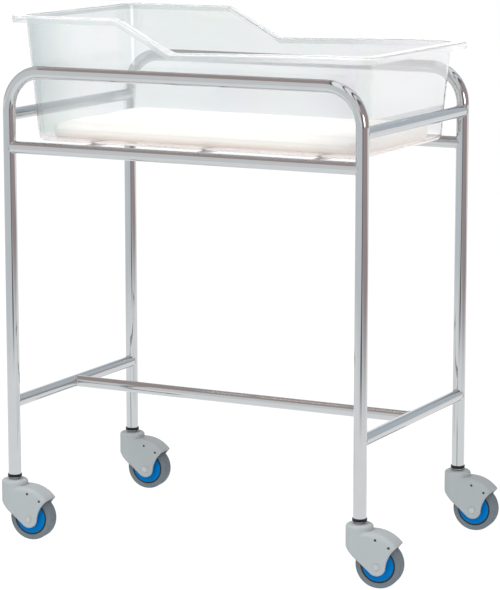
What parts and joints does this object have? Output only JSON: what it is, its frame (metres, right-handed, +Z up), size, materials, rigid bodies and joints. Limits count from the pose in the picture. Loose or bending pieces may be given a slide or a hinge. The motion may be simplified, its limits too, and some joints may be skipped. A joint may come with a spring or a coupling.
{
  "type": "hospital bassinet",
  "caption": "Hospital bassinet: a clear lift-off tub with a mattress on a bent-tube trolley with swivel casters, for keeping a newborn beside a bed and wheeling it between rooms.",
  "frame": {"origin": "on the floor, midway between the four legs", "axes": "+X from the head end to the foot end, +Y from the front side to the rear side, +Z up"},
  "size_m": [0.8617, 0.5247, 1.0303],
  "materials": {
    "frame_chrome": "polished",
    "rod_chrome": "polished",
    "plug_black": "satin",
    "stem_steel": "zinc plated",
    "housing_grey": "moulded",
    "axle_steel": "zinc plated",
    "spacer_grey": "moulded",
    "bush_white": "moulded",
    "core_black": "moulded",
    "guard_blue": "moulded",
    "tyre_grey": "matte",
    "tub_clear": "clear",
    "mattress_cover": "wipe-clean",
    "mattress_foam": "open cell"
  },
  "bodies": {
    "frame": {"front_side_frame": "frame_chrome", "rear_side_frame": "frame_chrome", "front_tub_rail": "frame_chrome", "rear_tub_rail": "frame_chrome", "head_upper_cross_bar": "frame_chrome", "foot_upper_cross_bar": "frame_chrome", "head_lower_cross_bar": "frame_chrome", "foot_lower_cross_bar": "frame_chrome", "centre_stretcher": "frame_chrome", "head_support_rod": "rod_chrome", "middle_support_rod": "rod_chrome", "foot_support_rod": "rod_chrome", "head_front_leg_plug": "plug_black", "head_front_caster_stem": "stem_steel", "head_rear_leg_plug": "plug_black", "head_rear_caster_stem": "stem_steel", "foot_front_leg_plug": "plug_black", "foot_front_caster_stem": "stem_steel", "foot_rear_leg_plug": "plug_black", "foot_rear_caster_stem": "stem_steel"},
    "head_front_swivel": {"head_front_swivel_bearing": "stem_steel", "head_front_caster_housing": "housing_grey", "head_front_wheel_axle": "axle_steel", "head_front_axle_spacers": "spacer_grey"},
    "head_front_wheel": {"head_front_wheel_bush": "bush_white", "head_front_wheel_core": "core_black", "head_front_thread_guards": "guard_blue", "head_front_tyre": "tyre_grey"},
    "head_rear_swivel": {"head_rear_swivel_bearing": "stem_steel", "head_rear_caster_housing": "housing_grey", "head_rear_wheel_axle": "axle_steel", "head_rear_axle_spacers": "spacer_grey"},
    "head_rear_wheel": {"head_rear_wheel_bush": "bush_white", "head_rear_wheel_core": "core_black", "head_rear_thread_guards": "guard_blue", "head_rear_tyre": "tyre_grey"},
    "foot_front_swivel": {"foot_front_swivel_bearing": "stem_steel", "foot_front_caster_housing": "housing_grey", "foot_front_wheel_axle": "axle_steel", "foot_front_axle_spacers": "spacer_grey"},
    "foot_front_wheel": {"foot_front_wheel_bush": "bush_white", "foot_front_wheel_core": "core_black", "foot_front_thread_guards": "guard_blue", "foot_front_tyre": "tyre_grey"},
    "foot_rear_swivel": {"foot_rear_swivel_bearing": "stem_steel", "foot_rear_caster_housing": "housing_grey", "foot_rear_wheel_axle": "axle_steel", "foot_rear_axle_spacers": "spacer_grey"},
    "foot_rear_wheel": {"foot_rear_wheel_bush": "bush_white", "foot_rear_wheel_core": "core_black", "foot_rear_thread_guards": "guard_blue", "foot_rear_tyre": "tyre_grey"},
    "tub": {"tub": "tub_clear"},
    "mattress": {"mattress_cover": "mattress_cover", "mattress_foam": "mattress_foam"}
  },
  "joints": [
    {"name": "head_front_swivel_turn", "type": "hinge", "parent": "frame", "child": "head_front_swivel", "pos_m": [-0.3755, -0.2335, 0.105], "axis": [0, 0, 1], "continuous": true},
    {"name": "head_front_wheel_roll", "type": "hinge", "parent": "head_front_swivel", "child": "head_front_wheel", "pos_m": [-0.33572, -0.22932, 0.044], "axis": [-0.1045, 0.9945, 0], "continuous": true},
    {"name": "head_rear_swivel_turn", "type": "hinge", "parent": "frame", "child": "head_rear_swivel", "pos_m": [-0.3755, 0.2335, 0.105], "axis": [0, 0, 1], "continuous": true},
    {"name": "head_rear_wheel_roll", "type": "hinge", "parent": "head_rear_swivel", "child": "head_rear_wheel", "pos_m": [-0.33565, 0.23699, 0.044], "axis": [-0.0872, 0.9962, 0], "continuous": true},
    {"name": "foot_front_swivel_turn", "type": "hinge", "parent": "frame", "child": "foot_front_swivel", "pos_m": [0.3755, -0.2335, 0.105], "axis": [0, 0, 1], "continuous": true},
    {"name": "foot_front_wheel_roll", "type": "hinge", "parent": "foot_front_swivel", "child": "foot_front_wheel", "pos_m": [0.4152, -0.22862, 0.044], "axis": [-0.1219, 0.9925, 0], "continuous": true},
    {"name": "foot_rear_swivel_turn", "type": "hinge", "parent": "frame", "child": "foot_rear_swivel", "pos_m": [0.3755, 0.2335, 0.105], "axis": [0, 0, 1], "continuous": true},
    {"name": "foot_rear_wheel_roll", "type": "hinge", "parent": "foot_rear_swivel", "child": "foot_rear_wheel", "pos_m": [0.41545, 0.23559, 0.044], "axis": [-0.0523, 0.9986, 0], "continuous": true},
    {"name": "tub_lift", "type": "slide", "parent": "frame", "child": "tub", "axis": [0, 0, 1], "range_m": [0, 0.3]},
    {"name": "mattress_lift", "type": "slide", "parent": "tub", "child": "mattress", "axis": [0, 0, 1], "range_m": [0, 0.25]}
  ]
}
